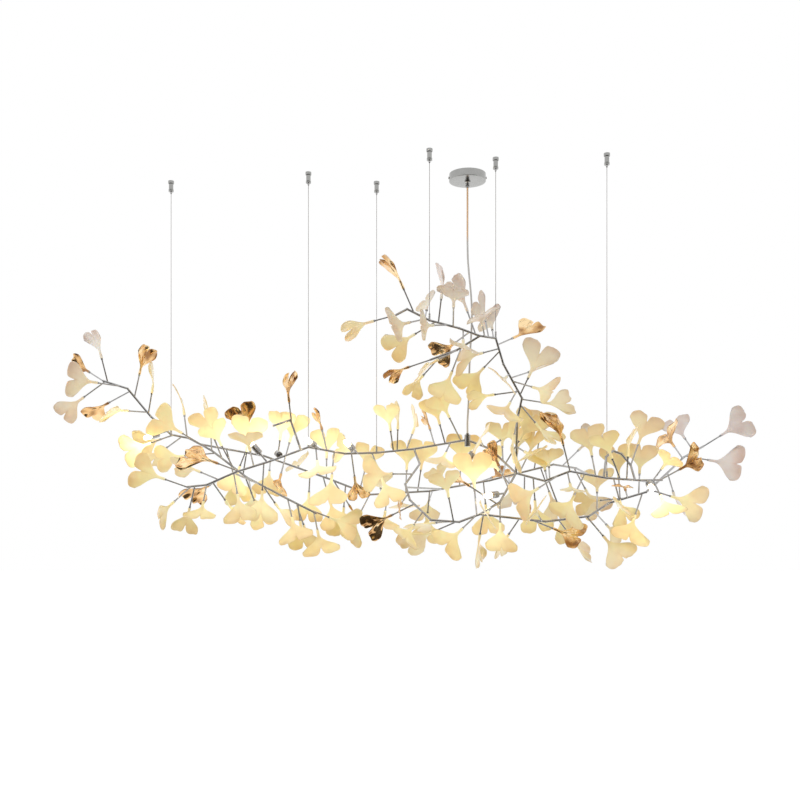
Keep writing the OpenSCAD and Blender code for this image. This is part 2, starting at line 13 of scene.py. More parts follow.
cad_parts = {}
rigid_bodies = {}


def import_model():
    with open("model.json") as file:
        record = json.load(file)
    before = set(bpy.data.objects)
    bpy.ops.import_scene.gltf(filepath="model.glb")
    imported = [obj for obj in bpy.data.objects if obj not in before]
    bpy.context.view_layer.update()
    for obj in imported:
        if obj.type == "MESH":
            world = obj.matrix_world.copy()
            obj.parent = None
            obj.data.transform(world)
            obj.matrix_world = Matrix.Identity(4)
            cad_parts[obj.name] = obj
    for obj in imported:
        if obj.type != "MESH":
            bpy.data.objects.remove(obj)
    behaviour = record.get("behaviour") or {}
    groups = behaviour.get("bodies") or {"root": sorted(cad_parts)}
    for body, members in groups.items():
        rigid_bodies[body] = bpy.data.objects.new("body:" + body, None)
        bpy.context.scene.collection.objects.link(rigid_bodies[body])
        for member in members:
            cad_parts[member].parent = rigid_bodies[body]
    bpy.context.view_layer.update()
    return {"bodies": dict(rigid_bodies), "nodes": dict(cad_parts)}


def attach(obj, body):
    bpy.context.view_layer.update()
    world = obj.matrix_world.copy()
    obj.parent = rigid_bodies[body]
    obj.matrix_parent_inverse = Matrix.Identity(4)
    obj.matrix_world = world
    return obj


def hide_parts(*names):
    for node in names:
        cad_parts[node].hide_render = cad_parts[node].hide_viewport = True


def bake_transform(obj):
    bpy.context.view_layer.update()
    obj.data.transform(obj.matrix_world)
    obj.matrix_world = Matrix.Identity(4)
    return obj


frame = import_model()
MM = 0.001


# The camera stands level, a little over two and a half metres in front, below the canopy. The picture's
# centre lies above the horizon, so the lens is shifted up and not tilted, and the wires stay upright.
camera_data = bpy.data.cameras.new("camera")
camera_data.sensor_width = 36.0
camera_data.lens = 43.2
camera_data.shift_y = 0.154
camera_data.clip_end = 60.0
camera = bpy.data.objects.new("camera", camera_data)
camera.location = (-0.1839, -2.616, -0.951)
camera.rotation_euler = (math.radians(90), 0, 0)
bpy.context.scene.collection.objects.link(camera)
bpy.context.scene.camera = camera


# The power cord: tinned copper cores under a clear sheath 5 mm thick. It hangs from the canopy's gland to
# the hub with a slight set, and looks amber down from the gland. Its route is in metres.
CORD_DIAMETER = 5 * MM
CORD_ROUTE = [
    (0, 0, -0.032), (0, 0, -0.060), (0, 0, -0.090), (0, 0, -0.130), (0, 0, -0.180), (0.001, 0, -0.230),
    (0.004, 0, -0.270), (0.008, 0, -0.310), (0.011, 0, -0.350), (0.012, 0, -0.390), (0.010, 0, -0.440),
    (0.007, 0, -0.490), (0.005, 0, -0.540), (0.004, 0, -0.590), (0.002, 0, -0.640), (0, 0, -0.675),
    (0, 0, -0.706),
]
CORD_TOP, CORD_FOOT = CORD_ROUTE[0][2], CORD_ROUTE[-1][2]


def smooth_line(points, steps):
    """The points with steps more places between each two, on a curve that passes through them all."""
    line = []
    for i in range(len(points) - 1):
        before, a, b, after = (
            Vector(points[max(0, min(len(points) - 1, k))]) for k in (i - 1, i, i + 1, i + 2)
        )
        for k in range(steps):
            t = k / steps
            line.append(
                a + ((b - before) * t + (2 * before - 5 * a + 4 * b - after) * t * t
                     + (3 * a - before - 3 * b + after) * t ** 3) / 2
            )
    return line + [Vector(points[-1])]


def swept_tube(name, line, radius, sides):
    """A round tube with closed ends along a line, as a mesh object."""
    curve = bpy.data.curves.new(name + "_line", "CURVE")
    curve.dimensions = "3D"
    curve.bevel_depth = radius
    curve.bevel_resolution = sides
    curve.use_fill_caps = True
    spline = curve.splines.new("POLY")
    spline.points.add(len(line) - 1)
    for point, place in zip(spline.points, line):
        point.co = (*place, 1)
    carrier = bpy.data.objects.new(name + "_line", curve)
    mesh = bpy.data.meshes.new_from_object(carrier)
    bpy.data.objects.remove(carrier)
    bpy.data.curves.remove(curve)
    mesh.name = name
    for face in mesh.polygons:
        face.use_smooth = True
    tube = bpy.data.objects.new(name, mesh)
    bpy.context.scene.collection.objects.link(tube)
    return tube


def new_material(name, color, metallic=0.0, roughness=0.5):
    """A material with its main shader's plain values set: (material, nodes, links, shader)."""
    material = bpy.data.materials.new(name)
    material.use_nodes = True
    nodes, links = material.node_tree.nodes, material.node_tree.links
    shader = nodes["Principled BSDF"]
    shader.inputs["Base Color"].default_value = (*color, 1)
    shader.inputs["Metallic"].default_value = metallic
    shader.inputs["Roughness"].default_value = roughness
    return material, nodes, links, shader


def noise(nodes, links, scale, detail=2.0, stretch=(1, 1, 1)):
    """Noise on the object's own coordinates, with so many waves a metre: its factor output."""
    place = nodes.new("ShaderNodeTexCoord")
    turn = nodes.new("ShaderNodeMapping")
    turn.inputs["Scale"].default_value = stretch
    pattern = nodes.new("ShaderNodeTexNoise")
    pattern.inputs["Scale"].default_value = scale
    pattern.inputs["Detail"].default_value = detail
    links.new(place.outputs["Object"], turn.inputs["Vector"])
    links.new(turn.outputs["Vector"], pattern.inputs["Vector"])
    return pattern.outputs["Fac"]


def ramp(nodes, links, factor, *stops):
    """Colours along a factor: each stop is (place, colour)."""
    blend = nodes.new("ShaderNodeValToRGB")
    while len(blend.color_ramp.elements) < len(stops):
        blend.color_ramp.elements.new(0.5)
    for element, (place, color) in zip(blend.color_ramp.elements, stops):
        element.position = place
        element.color = (*color, 1)
    links.new(factor, blend.inputs["Fac"])
    return blend.outputs["Color"]


def multiplied(nodes, links, first, second):
    """Two colours multiplied."""
    tint = nodes.new("ShaderNodeMix")
    tint.data_type = "RGBA"
    tint.blend_type = "MULTIPLY"
    tint.inputs["Factor"].default_value = 1.0
    links.new(first, tint.inputs["A"])
    links.new(second, tint.inputs["B"])
    return tint.outputs["Result"]


def rescale(nodes, links, factor, low, high, start=0.0, end=1.0):
    """A factor from start to end, made a number from low to high."""
    reach = nodes.new("ShaderNodeMapRange")
    for socket, value in (("From Min", start), ("From Max", end), ("To Min", low), ("To Max", high)):
        reach.inputs[socket].default_value = value
    links.new(factor, reach.inputs["Value"])
    return reach.outputs["Result"]


def bump(nodes, links, shader, height, depth):
    """Raises the surface by a height factor, depth metres at most."""
    relief = nodes.new("ShaderNodeBump")
    relief.inputs["Distance"].default_value = depth
    links.new(height, relief.inputs["Height"])
    links.new(relief.outputs["Normal"], shader.inputs["Normal"])


def clear_cord_material():
    material, nodes, links, shader = new_material("clear_cord", (0.74, 0.72, 0.69), roughness=0.34)
    shader.inputs["Coat Weight"].default_value = 0.1
    shader.inputs["Coat Roughness"].default_value = 0.2
    place = nodes.new("ShaderNodeTexCoord")
    parts = nodes.new("ShaderNodeSeparateXYZ")
    links.new(place.outputs["Object"], parts.inputs["Vector"])
    height = rescale(nodes, links, parts.outputs["Z"], 0, 1, CORD_FOOT, CORD_TOP)
    sheath = ramp(nodes, links, height, (0.0, (0.60, 0.56, 0.50)), (0.45, (0.55, 0.54, 0.53)),
                  (0.77, (0.58, 0.57, 0.55)), (0.80, (0.78, 0.52, 0.32)), (1.0, (0.78, 0.49, 0.27)))
    cores = noise(nodes, links, 900, 1.0, (1, 1, 0.12))
    strands = ramp(nodes, links, cores, (0.35, (0.88, 0.86, 0.84)), (0.65, (1.0, 1.0, 1.0)))
    links.new(multiplied(nodes, links, sheath, strands), shader.inputs["Base Color"])
    bump(nodes, links, shader, cores, 0.0002)
    return material


cord_line = smooth_line(CORD_ROUTE, 4)
power_cord = swept_tube("power_cord_sheath", cord_line, CORD_DIAMETER / 2, 6)
power_cord.data.materials.append(clear_cord_material())
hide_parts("power_cord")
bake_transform(power_cord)


# The branches: six-millimetre chromed rods, brazed end to end at an angle with a small ball at each bend,
# and the thin stems that carry the leaves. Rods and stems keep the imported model's shapes, so the points of
# the rods, in millimetres, only say where wires, lamps and leaves start.
LEFT_ARM = [
    (-1000, 20, -560), (-935, 30, -580), (-875, 45, -655), (-820, 52, -705), (-770, 50, -715),
    (-705, 40, -750), (-605, 20, -825), (-490, 0, -885), (-410, -10, -925),
]
MIDDLE_BEAM = [
    (-750, -65, -855), (-695, -80, -850), (-615, -80, -815), (-530, -50, -785), (-432, -15, -745),
    (-335, 25, -760), (-249, 57, -755), (-145, 50, -745), (-3, 2, -724),
]
LEFT_SPUR = [
    (-452, -22, -753), (-480, -20, -672), (-525, -40, -690),
]
RIGHT_BEAM = [
    (3, -1, -726), (60, -20, -750), (125, -60, -818), (197, -90, -840), (258, -120, -816),
    (348, -148, -835), (437, -130, -840), (503, -100, -838),
]
RIGHT_LOOP = [
    (340, -147, -834), (354, -112, -778), (374, -106, -762), (395, -106, -770), (418, -112, -800),
    (424, -132.7, -839.3),
]
RIGHT_ARM = [
    (437, -130, -840), (498, -60, -845), (590, 0, -771), (656, 40, -738),
]
FRONT_LOOP = [
    (-145, 50, -745), (-130, 0, -790), (-170, -80, -848), (-158, -120, -891), (-104, -150, -943),
    (-32, -150, -948), (22, -140, -928), (76, -120, -896), (125, -60, -818),
]
LOWER_BEAM = [
    (22, -140, -928), (193, -130, -947), (309, -110, -933), (366, -90, -898), (466, -80, -869),
    (498, -60, -845),
]
TOP_SPRAY = [
    (-194, -195, -426), (-166, -190, -410), (-109, -178, -436), (-33, -160, -452), (22, -140, -468),
    (65, -119, -470), (86, -110, -536), (137, -90, -622), (126, -75, -678), (125, -60, -818),
]
SPRAY_DROP = [
    (22, -140, -468), (-36, -120, -501), (-106, -110, -525),
]
BACK_BEAM = [
    (-737, 45, -732.5), (-570, 110, -760), (-385, 130, -825), (-270, 110, -870), (-100, 110, -860),
    (70, 110, -830), (250, 100, -785), (300, 20, -800), (303, -134, -825.5),
]


def plated_material(name, dark, light, gloss):
    """Plated metal whose shade and gloss vary a little from place to place."""
    material, nodes, links, shader = new_material(name, light, 1.0, gloss)
    haze = noise(nodes, links, 60, 3.0)
    links.new(rescale(nodes, links, haze, gloss * 0.6, gloss * 1.4), shader.inputs["Roughness"])
    links.new(ramp(nodes, links, haze, (0.3, dark), (0.7, light)), shader.inputs["Base Color"])
    return material


chrome = plated_material("polished_chrome", (0.38, 0.375, 0.37), (0.50, 0.49, 0.485), 0.18)


def dress(node, material):
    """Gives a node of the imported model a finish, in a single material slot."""
    mesh = frame["nodes"][node].data
    mesh.materials.clear()
    mesh.materials.append(material)


for node in frame["nodes"]:
    if node.startswith(("rod_", "stems_", "tie_rods", "lamp_stems", "wiring_hub", "hub_cord_clamp")):
        dress(node, chrome)


# The suspension wires: six stranded steel wires 1.5 mm thick, each from its gripper on the ceiling down to
# a crimped ferrule on a rod. The strands wind round the wire, so the finish follows a UV map laid round it.
WIRE_DIAMETER = 1.5 * MM
FERRULE_HEIGHT = 18 * MM
WIRE_TOP = -18 * MM
WIRE_FEET = [LEFT_ARM[3], MIDDLE_BEAM[4], MIDDLE_BEAM[6], TOP_SPRAY[2], TOP_SPRAY[5], RIGHT_BEAM[5]]
STRANDS = 6
LAY_LENGTH = 9 * MM
WIRE_SIDES = 12


def new_piece(name, shape, material, smooth=True):
    """Makes a bmesh into an object of one material, at the origin, and frees the bmesh."""
    mesh = bpy.data.meshes.new(name)
    shape.to_mesh(mesh)
    shape.free()
    for face in mesh.polygons:
        face.use_smooth = smooth
    mesh.materials.append(material)
    piece = bpy.data.objects.new(name, mesh)
    bpy.context.scene.collection.objects.link(piece)
    return piece


def wire_shape():
    """The six wires as one bmesh of closed cylinders, with a UV map that runs round and along each."""
    shape = bmesh.new()
    lay = shape.loops.layers.uv.new("lay")
    for foot in WIRE_FEET:
        x, y, low = foot[0] * MM, foot[1] * MM, foot[2] * MM + FERRULE_HEIGHT
        middle = (low + WIRE_TOP) / 2
        made = bmesh.ops.create_cone(
            shape, cap_ends=True, segments=WIRE_SIDES, radius1=WIRE_DIAMETER / 2, radius2=WIRE_DIAMETER / 2,
            depth=WIRE_TOP - low, matrix=Matrix.Translation((x, y, middle)))
        for face in {f for v in made["verts"] for f in v.link_faces}:
            centre = face.calc_center_median()
            home = math.atan2(centre.y - y, centre.x - x)
            for corner in face.loops:
                angle = math.atan2(corner.vert.co.y - y, corner.vert.co.x - x)
                angle = home + (angle - home + math.pi) % math.tau - math.pi
                corner[lay].uv = (angle / math.tau, corner.vert.co.z / LAY_LENGTH)
    return shape


def computed(nodes, links, operation, *values):
    """A math node's result. Each value is a number or another node's output."""
    step = nodes.new("ShaderNodeMath")
    step.operation = operation
    for socket, value in zip(step.inputs, values):
        if isinstance(value, float):
            socket.default_value = value
        else:
            links.new(value, socket)
    return step.outputs["Value"]


def stranded_material():
    material, nodes, links, shader = new_material("stranded_steel", (0.66, 0.64, 0.62), 1.0, 0.34)
    lay = nodes.new("ShaderNodeUVMap")
    lay.uv_map = "lay"
    parts = nodes.new("ShaderNodeSeparateXYZ")
    links.new(lay.outputs["UV"], parts.inputs["Vector"])
    turns = computed(nodes, links, "ADD", parts.outputs["X"], parts.outputs["Y"])
    phase = computed(nodes, links, "MULTIPLY", turns, math.tau * STRANDS)
    height = rescale(nodes, links, computed(nodes, links, "SINE", phase), 0, 1, -1, 1)
    # painted shade: the grooves between the strands are darker than the strands' crowns
    links.new(ramp(nodes, links, height, (0.0, (0.30, 0.28, 0.27)), (0.6, (0.56, 0.53, 0.51))),
              shader.inputs["Base Color"])
    bump(nodes, links, shader, height, 0.0002)
    return material


wires = new_piece("stranded_wires", wire_shape(), stranded_material())
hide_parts("suspension_wires")
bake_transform(wires)


# The canopy: a spun and plated cup 100 mm wide with rounded edges, held by a screw from each side to a
# steel plate on the ceiling, with the cord's gland in its middle. The terminal block is inside.
def turned(profile, steps=48):
    """A turned piece as a bmesh: (radius, height) points, in millimetres, spun about the Z axis."""
    shape = bmesh.new()
    corners = [shape.verts.new((r * MM, 0, z * MM)) for r, z in profile]
    edges = [shape.edges.new(pair) for pair in zip(corners, corners[1:])]
    bmesh.ops.spin(shape, geom=corners + edges, cent=(0, 0, 0), axis=(0, 0, 1), angle=math.tau,
                   steps=steps, use_merge=True)
    bmesh.ops.remove_doubles(shape, verts=shape.verts, dist=1e-6)
    bmesh.ops.recalc_face_normals(shape, faces=shape.faces)
    return shape


def copy_at(shape, part, place):
    """Adds a copy of one bmesh to another, at a place."""
    mesh = bpy.data.meshes.new("copy")
    part.to_mesh(mesh)
    mesh.transform(place)
    shape.from_mesh(mesh)
    bpy.data.meshes.remove(mesh)


def rounded(profile, cut=0.4, points=3):
    """A profile with each corner but its ends cut to a small round of so many points, in millimetres."""
    out = [profile[0]]
    for before, here, after in zip(profile, profile[1:], profile[2:]):
        a, b, c = Vector(before), Vector(here), Vector(after)
        # a round takes less than half of each side that it lies on, so that two never meet
        reach = min(cut, (a - b).length * 0.45, (c - b).length * 0.45)
        start, end = b + (a - b).normalized() * reach, b + (c - b).normalized() * reach
        for k in range(points + 1):
            t = k / points
            out.append(tuple(start * (1 - t) ** 2 + b * 2 * t * (1 - t) + end * t * t))
    return out + [profile[-1]]


CANOPY_RADIUS, CANOPY_HEIGHT, CANOPY_WALL = 50, 20, 1.5
CANOPY_CUP = rounded([
    (CANOPY_RADIUS - CANOPY_WALL, 0), (CANOPY_RADIUS, 0), (CANOPY_RADIUS, -CANOPY_HEIGHT),
    (5, -CANOPY_HEIGHT), (5, -CANOPY_HEIGHT + CANOPY_WALL),
    (CANOPY_RADIUS - CANOPY_WALL, -CANOPY_HEIGHT + CANOPY_WALL), (CANOPY_RADIUS - CANOPY_WALL, 0),
], cut=1.2, points=5)
GLAND = rounded([
    (1.5, -38), (2.6, -38), (4.6, -37.4), (5.5, -36), (5.5, -30.5), (4.9, -30), (4.9, -29), (5.5, -28.5),
    (5.5, -24.5), (8, -23), (8, -20.05), (4.9, -20.05), (4.9, -12), (1.5, -12), (1.5, -38),
], cut=0.5)

nickel = plated_material("satin_nickel", (0.35, 0.35, 0.34), (0.39, 0.39, 0.38), 0.20)
canopy_cup = new_piece("canopy_cup", turned(CANOPY_CUP, 96), nickel)
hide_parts("canopy_cover")
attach(canopy_cup, "ceiling_fixings")

gland = new_piece("cord_gland_turned", turned(GLAND), chrome)
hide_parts("cord_gland")
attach(gland, "ceiling_fixings")


def steel_material():
    material, nodes, links, shader = new_material("brushed_steel", (0.52, 0.51, 0.50), 1.0, 0.35)
    grain = noise(nodes, links, 400, 2.0, (1, 1, 12))
    links.new(rescale(nodes, links, grain, 0.25, 0.45), shader.inputs["Roughness"])
    links.new(ramp(nodes, links, grain, (0.3, (0.42, 0.41, 0.40)), (0.7, (0.60, 0.59, 0.58))),
              shader.inputs["Base Color"])
    bump(nodes, links, shader, grain, 0.00004)
    return material


def moulded_material():
    material, nodes, links, shader = new_material("moulded_nylon", (0.86, 0.85, 0.82), roughness=0.5)
    pebble = noise(nodes, links, 1500, 3.0)
    links.new(rescale(nodes, links, pebble, 0.42, 0.6), shader.inputs["Roughness"])
    bump(nodes, links, shader, pebble, 0.00005)
    return material


steel = steel_material()
for node in ("canopy_ceiling_plate", "canopy_side_screws", "gripper_jaws", "gripper_springs"):
    dress(node, steel)
dress("cord_gland_nut", chrome)
dress("terminal_block", moulded_material())


# The six wire grippers: plated brass cups on the ceiling, each with a barrel screwed into it that ends in
# a grooved grip ring, and a release plunger that shows below. The wires' crimped ferrules are with them.
def grooves(radius, floor, starts, width, slope):
    """The points of grooves in a turned profile, each from its start to its width, with sloped sides."""
    return [
        point for z in starts
        for point in ((radius, z), (floor, z + slope), (floor, z + width - slope), (radius, z + width))
    ]


CEILING_CUP = rounded([
    (2.2, 0), (8, 0), (8, -8), (5.6, -8), (5.6, -2.5), (2.2, -2.5), (2.2, 0),
], cut=0.7)
BARREL = rounded([
    (4.2, -2.5), (5.5, -2.5), (5.5, -8.2), (6, -8.2), (6, -23.4), (7, -24),
    *grooves(7, 6.6, (-25, -27), -1.2, -0.3),
    (7, -30), (2.8, -30), (2.8, -24), (4.2, -24), (4.2, -2.5),
], cut=0.35)
PLUNGER = rounded([
    (1.3, -36), (1.9, -36), (2.5, -34.8), (2.5, -24), (3.9, -24), (3.9, -22.8), (1.3, -22.8), (1.3, -36),
], cut=0.3)
FERRULE = rounded([
    (1.0, 2.2), (2.6, 2.2),
    *grooves(2.6, 2.3, (5.2, 11.2), 3.6, 0.4),
    (2.6, 17.2), (1.6, 18), (1.0, 18), (1.0, 2.2),
], cut=0.3)

wire_tops = [Matrix.Translation((x * MM, y * MM, 0)) for x, y, z in WIRE_FEET]
wire_feet = [Matrix.Translation((x * MM, y * MM, z * MM)) for x, y, z in WIRE_FEET]


def copies(part, places):
    """A bmesh with a copy of part at each place. The part itself is freed."""
    shape = bmesh.new()
    for place in places:
        copy_at(shape, part, place)
    part.free()
    return shape


for name, part, node in (("gripper_cups_turned", CEILING_CUP, "gripper_ceiling_cups"),
                         ("gripper_barrels_turned", BARREL, "gripper_barrels")):
    piece = new_piece(name, copies(turned(part), wire_tops), nickel)
    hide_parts(node)
    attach(piece, "ceiling_fixings")

for k, place in enumerate(wire_tops, 1):
    piece = new_piece(f"plunger_{k}_turned", copies(turned(PLUNGER, 32), [place]), chrome)
    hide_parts(f"plunger_{k}")
    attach(piece, f"plunger_body_{k}")

ferrules = new_piece("wire_ferrules_crimped", copies(turned(FERRULE, 32), wire_feet), steel)
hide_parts("wire_ferrules")
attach(ferrules, "frame")


# The lamps: eight chromed holders with cooling grooves, each on its own stem, and a clear glass capsule in
# each. A capsule has a frosted light post inside, and a point lamp there lights the porcelain near it. That
# glow is also painted into the porcelain's colour and emission.
# Each row is (place along the rod, holder x, y, z): the bulb carries on in line with the stem.
left_lamps = [
    (2.8, -850, 28, -705),
]
middle_lamps = [
    (2.9, -558, -52, -765), (3.3, -511, -12, -766), (4.3, -415, -30, -741), (5.4, -313, 12, -747),
]
right_lamps = [
    (0.4, 12, -22, -761), (6.3, 455, -152, -850),
]
front_lamps = [
    (7.3, 69, -122, -876),
]
LAMP_SETS = [(LEFT_ARM, left_lamps), (MIDDLE_BEAM, middle_lamps), (RIGHT_BEAM, right_lamps),
             (FRONT_LOOP, front_lamps)]


def along(path, place):
    """The point of a rod at a place that counts its points, in millimetres."""
    i = min(math.floor(place), len(path) - 2)
    a, b = Vector(path[i]), Vector(path[i + 1])
    return a + (b - a) * (place - i)


def stand(path, row, roll=0.0):
    """Where a leaf or lamp stands: mouth at the row's point, +X out of the stem, face to the viewer."""
    mouth = Vector(row[1:4])
    out = (mouth - along(path, row[0])).normalized()
    toward = Vector((0, -1, 0))
    face = (toward - out * toward.dot(out)).normalized()
    side = face.cross(out)
    turn = math.radians(roll)
    face = face * math.cos(turn) + side * math.sin(turn)
    side = face.cross(out)
    place = Matrix((out, side, face)).transposed().to_4x4()
    place.translation = mouth * MM
    return place


UPRIGHT_TO_X = Matrix.Rotation(math.radians(90), 4, "Y")
HOLDER = rounded([
    (2.5, 0), (8.2, 0), (9, 0.8),
    *grooves(9, 8.1, (5, 9, 13), 2, 0.4),
    (9, 28), (7.8, 28), (7.8, 3), (2.5, 3), (2.5, 0),
], cut=0.3)
CAPSULE_BASE = rounded([(0, 3), (5, 3), (5, 16.5), (4.4, 18), (0, 18)], cut=0.4)
CAPSULE_RADIUS = 6.5
CAPSULE_SHOULDER = 42
CAPSULE_GLASS = [
    (0, 16), (3.6, 16), (5.4, 18.5), (6.2, 20), (CAPSULE_RADIUS, 22), (CAPSULE_RADIUS, CAPSULE_SHOULDER),
    *((CAPSULE_RADIUS * math.cos(math.radians(angle)),
       CAPSULE_SHOULDER + CAPSULE_RADIUS * math.sin(math.radians(angle))) for angle in range(10, 90, 10)),
    (0, CAPSULE_SHOULDER + CAPSULE_RADIUS),
]
LIGHT_POST = [(0, 17.5), (2.6, 17.5), (3.0, 18.2), (3.0, 39), (2.4, 40.6), (1.2, 41.6), (0, 42)]
GLOW_HEIGHT = 32

lamp_places = [stand(path, row) @ UPRIGHT_TO_X for path, rows in LAMP_SETS for row in rows]
glow_points = [place @ Vector((0, 0, GLOW_HEIGHT * MM)) for place in lamp_places]


def glass_material():
    material, nodes, links, shader = new_material("capsule_glass", (1.0, 0.97, 0.90), roughness=0.03)
    shader.inputs["Transmission Weight"].default_value = 1.0
    shader.inputs["IOR"].default_value = 1.45
    shader.inputs["Emission Color"].default_value = (1.0, 0.90, 0.66, 1)
    shader.inputs["Emission Strength"].default_value = 0.8
    ripple = noise(nodes, links, 180, 1.0)
    bump(nodes, links, shader, ripple, 0.0003)
    return material


def light_post_material():
    material, nodes, links, shader = new_material("light_post", (1.0, 0.93, 0.72), roughness=0.6)
    shader.inputs["Emission Color"].default_value = (1.0, 0.86, 0.55, 1)
    shader.inputs["Emission Strength"].default_value = 9.0
    speckle = noise(nodes, links, 900, 2.0)
    links.new(ramp(nodes, links, speckle, (0.3, (1.0, 0.86, 0.50)), (0.7, (1.0, 0.95, 0.75))),
              shader.inputs["Base Color"])
    return material


def ceramic_base_material():
    material, nodes, links, shader = new_material("capsule_base", (0.88, 0.86, 0.80), roughness=0.45)
    chalk = noise(nodes, links, 700, 3.0)
    links.new(ramp(nodes, links, chalk, (0.3, (0.82, 0.80, 0.74)), (0.7, (0.93, 0.91, 0.86))),
              shader.inputs["Base Color"])
    bump(nodes, links, shader, chalk, 0.0001)
    return material


holders = new_piece("lamp_holders_grooved", copies(turned(HOLDER), lamp_places), chrome)
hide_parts("lamp_holders")
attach(holders, "frame")

glass_shape = copies(turned(CAPSULE_GLASS, 32), lamp_places)
capsules = new_piece("capsule_glass_turned", glass_shape, glass_material())
capsules.visible_shadow = False
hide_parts("bulbs")
bases = new_piece("capsule_bases", copies(turned(CAPSULE_BASE, 32), lamp_places), ceramic_base_material())
posts = new_piece("capsule_light_posts", copies(turned(LIGHT_POST, 24), lamp_places), light_post_material())
posts.visible_shadow = False
for piece in (capsules, bases, posts):
    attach(piece, "frame")

for point in glow_points:
    bulb_light = bpy.data.lights.new("lamp_glow", "POINT")
    bulb_light.energy = 0.34
    bulb_light.color = (1.0, 0.84, 0.56)
    bulb_light.shadow_soft_size = 0.012
    glow = bpy.data.objects.new("lamp_glow", bulb_light)
    glow.location = point
    glow.visible_glossy = False
    bpy.context.scene.collection.objects.link(glow)
    glow.parent = frame["bodies"]["frame"]


# The leaves: slip-cast porcelain ginkgo leaves about three millimetres thick. A round neck sockets over the
# stem's end and flares into two lobes with a notch between them. No two are alike, because each is bent
# and rippled by hand before it is fired.
# Each row is (place along the rod, mouth x, y, z, roll about the stem, size).
left_leaves = [
    (0.2, -1000, 10, -500, 50, 0.9), (1.9, -868, 30, -592, 80, 1.0), (0.7, -1005, -10, -570, 10, 1.05),
    (0.1, -1052, 20, -605, 50, 0.95), (1.85, -925, 0, -645, 70, 0.9), (3.1, -870, 30, -730, 10, 1.0),
    (3.6, -840, 80, -740, 60, 0.9), (4.8, -780, 10, -705, 0, 1.1), (3.9, -785, 60, -650, 80, 1.0),
    (5.0, -710, 50, -685, 80, 1.0), (5.6, -670, 0, -740, -10, 0.9), (5.9, -605, 20, -755, 5, 1.15),
    (6.4, -530, 40, -895, 75, 0.95), (7.0, -475, -30, -935, 0, 1.05), (7.3, -450, 30, -955, 85, 0.9),
    (7.9, -405, -45, -970, 5, 1.1), (7.7, -378, 10, -935, 20, 1.0), (6.05, -600, 75, -868, 10, 1.0),
    (5.3, -695, 30, -720, 15, 1.0), (3.15, -860, 90, -715, 10, 1.0), (5.95, -585, 30, -890, 30, 0.9),
    (5.1, -780, 40, -765, 20, 0.9), (7.35, -455, -10, -945, 15, 0.95),
]
left_gold = [
    (1.3, -905, 40, -540, -75, 0.95), (0.0, -1050, 60, -530, 30, 0.8), (1.1, -995, 60, -615, 65, 0.9),
]
middle_leaves = [
    (1.4, -715, -60, -815, 55, 0.95), (0.0, -805, -80, -835, 0, 1.05), (0.2, -775, -105, -895, 60, 0.9),
    (0.4, -745, -55, -910, 10, 0.8), (1.0, -695, -120, -895, 0, 0.9), (1.2, -650, -55, -890, 80, 0.9),
    (1.9, -610, -100, -875, 0, 1.0), (2.8, -550, -65, -865, 10, 1.0), (4.7, -368, -20, -820, -15, 1.2),
    (6.55, -190, 55, -690, 70, 0.9), (6.8, -150, 15, -705, 60, 0.9), (7.9, -50, -15, -665, 15, 0.9),
    (7.7, -60, -20, -760, -10, 0.95), (5.85, -235, 35, -825, 0, 1.0), (2.5, -575, -112, -762, 0, 1.0),
    (4.2, -405, -55, -785, 0, 1.1), (6.45, -210, 40, -695, 30, 0.9), (7.6, -75, 15, -680, 20, 0.9),
    (5.4, -320, 75, -750, 10, 0.95),
]
middle_gold = [
    (2.05, -660, -110, -795, 45, 1.2), (1.6, -695, -45, -850, 50, 0.95), (3.4, -500, -65, -820, 60, 0.7),
    (4.5, -398, 20, -695, 75, 0.7), (5.2, -310, 45, -822, 30, 0.75), (7.4, -100, 60, -690, 80, 0.7),
]
spur_gold = [
    (0.9, -482, -35, -625, -70, 0.95),
]
front_leaves = [
    (4.9, -90, -125, -970, 55, 1.2), (5.8, -25, -168, -965, 0, 1.1), (6.2, 25, -110, -980, 80, 1.0),
    (7.0, 75, -135, -950, 10, 0.95), (4.8, -60, -175, -885, 10, 0.9), (5.85, 10, -120, -865, 0, 1.15),
    (1.5, -205, -62, -820, 0, 1.05), (3.6, -150, -178, -957, 10, 0.9), (6.6, 40, -182, -922, 10, 0.9),
    (4.75, -90, -105, -950, 75, 1.0), (7.6, 85, -20, -810, 10, 1.0),
]
front_gold = [
    (3.2, -205, -110, -930, 30, 0.95), (2.6, -180, -155, -900, 50, 0.6), (7.5, 80, -60, -800, 65, 0.8),
    (6.85, -5, -140, -855, 60, 0.8),
]
right_leaves = [
    (2.1, 160, -40, -768, 50, 0.9), (4.7, 318, -105, -775, 15, 1.0), (5.6, 398, -165, -780, -50, 1.0),
    (3.9, 250, -165, -850, 0, 0.7), (4.4, 260, -170, -880, 5, 1.15), (3.5, 175, -130, -860, 10, 1.15),
    (1.5, 95, 2, -742, 0, 1.0), (0.7, 30, -75, -735, 0, 1.0), (2.6, 175, -62, -890, 0, 1.0),
    (3.2, 215, -45, -800, 10, 0.9), (6.6, 485, -150, -880, 0, 1.0), (1.6, 135, -45, -730, 10, 1.0),
    (3.1, 205, -45, -810, 10, 1.0), (5.4, 360, -155, -785, 30, 0.9), (3.15, 240, -70, -915, 10, 1.0),
    (5.2, 390, -105, -890, 20, 0.9), (0.85, 90, -10, -725, 25, 0.9),
]
right_gold = [
    (2.3, 150, -35, -878, 60, 0.7), (4.0, 235, -150, -748, 75, 1.1),
]
loop_leaves = [
    (4.0, 440, -100, -745, 0, 1.0),
]
arm_leaves = [
    (2.1, 652, -15, -780, 10, 1.05), (3.0, 705, 45, -708, 5, 1.05), (1.4, 560, 0, -865, 80, 0.85),
    (0.7, 495, -125, -810, 10, 0.8), (2.5, 612, 65, -715, 10, 0.95),
]
arm_gold = [
    (1.95, 550, -45, -745, 0, 1.05), (1.1, 550, -95, -810, 40, 0.9),
]
